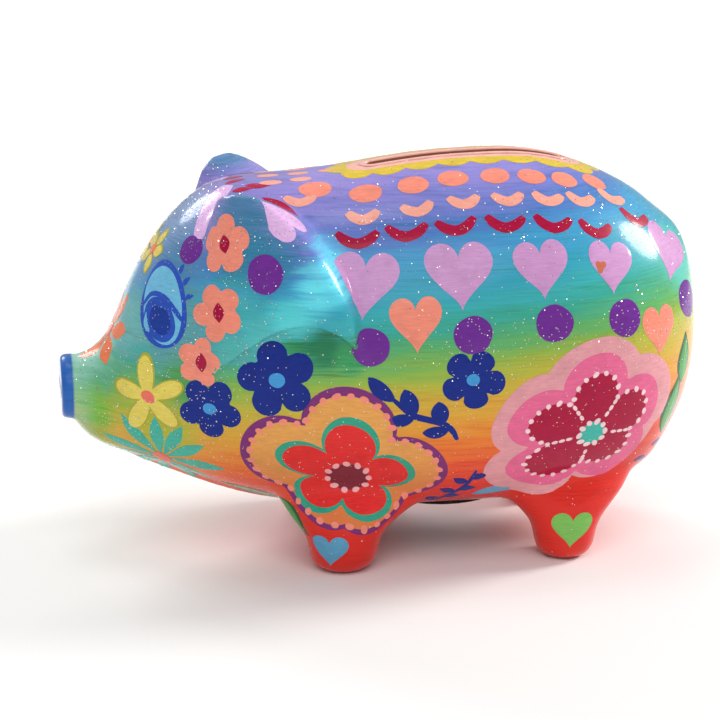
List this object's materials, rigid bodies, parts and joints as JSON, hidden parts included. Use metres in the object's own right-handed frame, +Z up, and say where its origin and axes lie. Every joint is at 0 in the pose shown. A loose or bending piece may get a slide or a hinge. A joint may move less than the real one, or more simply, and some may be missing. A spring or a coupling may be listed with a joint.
{
  "type": "piggy bank",
  "caption": "Hollow fired-clay money box in the shape of a standing pig, with a coin slot along the back and a pull-out rubber stopper in the belly.",
  "frame": {"origin": "middle of the bounding box's bottom face, on the plane the four feet stand on, on the pig's middle plane", "axes": "+Z up; the snout points to -X and the pig's left side to -Y"},
  "size_m": [0.191, 0.1, 0.1186],
  "materials": {
    "painted_shell": "hand-painted fired clay under glossy varnish with fine glitter, sky blue at the back through teal, green, yellow and orange to red at the belly",
    "snout_blue": "blue paint under glossy varnish",
    "ear_teal": "teal paint under glossy varnish",
    "leg_red": "red paint under glossy varnish",
    "tail_blue": "blue paint under glossy varnish",
    "stopper_rubber": "soft matt black rubber"
  },
  "bodies": {
    "pig": {"body_left_half": "painted_shell", "body_right_half": "painted_shell", "snout_disc": "snout_blue", "ear_left": "ear_teal", "ear_right": "ear_teal", "leg_front_left": "leg_red", "leg_front_right": "leg_red", "leg_rear_left": "leg_red", "leg_rear_right": "leg_red", "tail": "tail_blue"},
    "stopper": {"belly_stopper": "stopper_rubber"}
  },
  "joints": [
    {"name": "stopper_pull", "type": "slide", "parent": "pig", "child": "stopper", "axis": [0, 0, -1], "range_m": [0, 0.012]}
  ]
}
